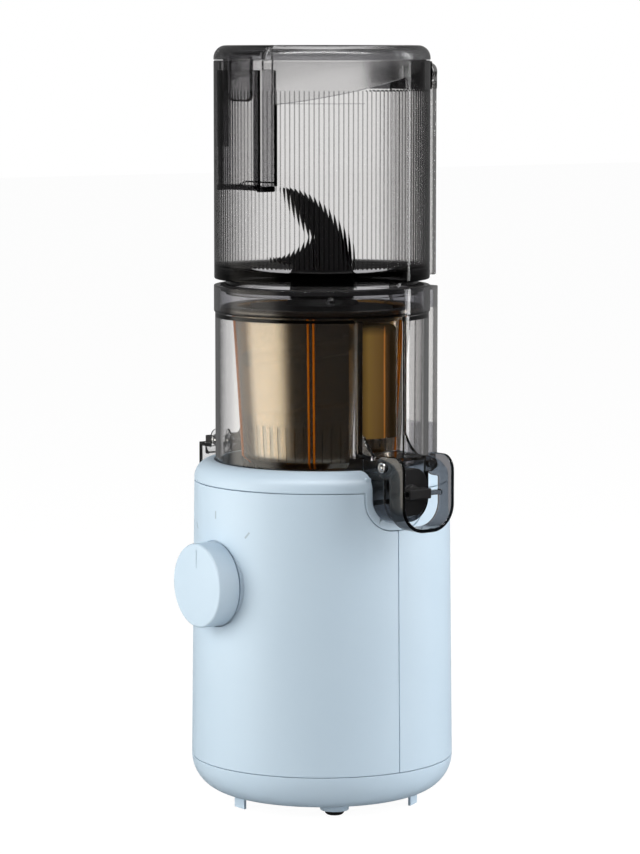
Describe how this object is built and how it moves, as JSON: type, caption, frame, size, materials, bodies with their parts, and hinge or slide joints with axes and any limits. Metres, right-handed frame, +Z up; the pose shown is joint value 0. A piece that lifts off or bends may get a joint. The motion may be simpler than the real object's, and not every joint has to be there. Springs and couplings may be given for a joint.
{
  "type": "cold press juicer",
  "caption": "Upright self-feeding cold press juicer: round motor base with a dial, clear juicing chamber, slotted strainer, auger with a wing, and a tall fluted hopper with a hinged lid.",
  "frame": {"origin": "on the juicer's own axis, on the surface that its rubber feet stand on", "axes": "+Z up along the auger's axis, -Y towards the dial, +X towards the pulp outlet"},
  "size_m": [0.1888, 0.1611, 0.404],
  "materials": {
    "housing": "satin",
    "smoke": "clear smoke",
    "clear": "clear",
    "amber": "gloss",
    "auger_resin": "satin",
    "black_resin": "matte",
    "silicone": "matte",
    "gear_resin": "matte",
    "steel": "satin",
    "bronze": "sintered",
    "board": "laminate"
  },
  "bodies": {
    "base": {"front_shell": "housing", "rear_shell": "housing", "top_cover": "housing", "bottom_pan": "housing", "rubber_feet": "silicone", "inner_frame": "black_resin", "foot_screws": "steel", "gearbox_screws": "steel", "cord_gland": "silicone", "motor_case": "steel", "motor_cap": "steel", "motor_bushes": "bronze", "motor_magnets": "steel", "motor_brushes": "black_resin", "gearbox_case": "black_resin", "gearbox_cover": "black_resin", "drive_bearings": "steel", "idler_pin": "steel", "shaft_seal": "silicone", "rotary_switch": "black_resin", "control_board": "board", "board_parts": "black_resin"},
    "motor": {"motor_rotor": "steel", "cooling_fan": "black_resin", "motor_pinion": "steel"},
    "idler": {"idler_gear": "steel"},
    "drive": {"drive_shaft": "steel", "output_gear": "gear_resin"},
    "dial": {"knob": "housing", "knob_shaft": "steel"},
    "chamber": {"juicing_chamber": "smoke", "chamber_seal": "silicone", "hinge_rivets": "steel"},
    "lever": {"pulp_lever": "smoke", "pulp_plug": "silicone"},
    "cap": {"juice_cap": "clear", "juice_seal": "silicone", "cap_strap": "silicone"},
    "strainer": {"strainer": "amber"},
    "auger": {"auger": "auger_resin", "cutter_wing": "black_resin"},
    "hopper": {"hopper": "smoke", "hopper_gasket": "silicone", "feed_chute": "smoke", "hinge_pin": "steel"},
    "lid": {"lid": "smoke", "flap_pin": "steel"},
    "flap": {"feed_flap": "smoke"}
  },
  "joints": [
    {"name": "motor_spin", "type": "hinge", "parent": "base", "child": "motor", "pos_m": [0.01461, 0.01346, 0.094], "axis": [0, 0, 1], "continuous": true},
    {"name": "idler_spin", "type": "hinge", "parent": "base", "child": "idler", "pos_m": [0, 0.0325, 0.094], "axis": [0, 0, 1], "continuous": true},
    {"name": "drive_spin", "type": "hinge", "parent": "base", "child": "drive", "pos_m": [0, 0, 0.094], "axis": [0, 0, 1], "continuous": true},
    {"name": "dial_turn", "type": "hinge", "parent": "base", "child": "dial", "pos_m": [0, -0.06852, 0.1225], "axis": [0, -1, 0], "range_deg": [-40, 40]},
    {"name": "chamber_lift", "type": "slide", "parent": "base", "child": "chamber", "axis": [0, 0, 1], "range_m": [0, 0.08]},
    {"name": "lever_swing", "type": "hinge", "parent": "chamber", "child": "lever", "pos_m": [0.0774, 0, 0.188], "axis": [0, -1, 0], "range_deg": [0, 80]},
    {"name": "cap_swing", "type": "hinge", "parent": "chamber", "child": "cap", "pos_m": [-0.0774, 0, 0.188], "axis": [0, 1, 0], "range_deg": [0, 80]},
    {"name": "strainer_lift", "type": "slide", "parent": "chamber", "child": "strainer", "axis": [0, 0, 1], "range_m": [0, 0.1]},
    {"name": "auger_spin", "type": "hinge", "parent": "strainer", "child": "auger", "pos_m": [0, 0, 0.1819], "axis": [0, 0, 1], "continuous": true},
    {"name": "hopper_lift", "type": "slide", "parent": "chamber", "child": "hopper", "axis": [0, 0, 1], "range_m": [0, 0.2]},
    {"name": "lid_swing", "type": "hinge", "parent": "hopper", "child": "lid", "pos_m": [0, 0.0625, 0.3901], "axis": [-1, 0, 0], "range_deg": [0, 105]},
    {"name": "flap_swing", "type": "hinge", "parent": "lid", "child": "flap", "pos_m": [0, -0.04, 0.4018], "axis": [-1, 0, 0], "range_deg": [0, 100]}
  ],
  "couplings": [
    {"joint": "idler_spin", "follows": "motor_spin", "ratio": -0.33333},
    {"joint": "drive_spin", "follows": "motor_spin", "ratio": 0.1},
    {"joint": "auger_spin", "follows": "motor_spin", "ratio": 0.1},
    {"joint": "strainer_lift", "follows": "hopper_lift", "ratio": 0.5}
  ]
}
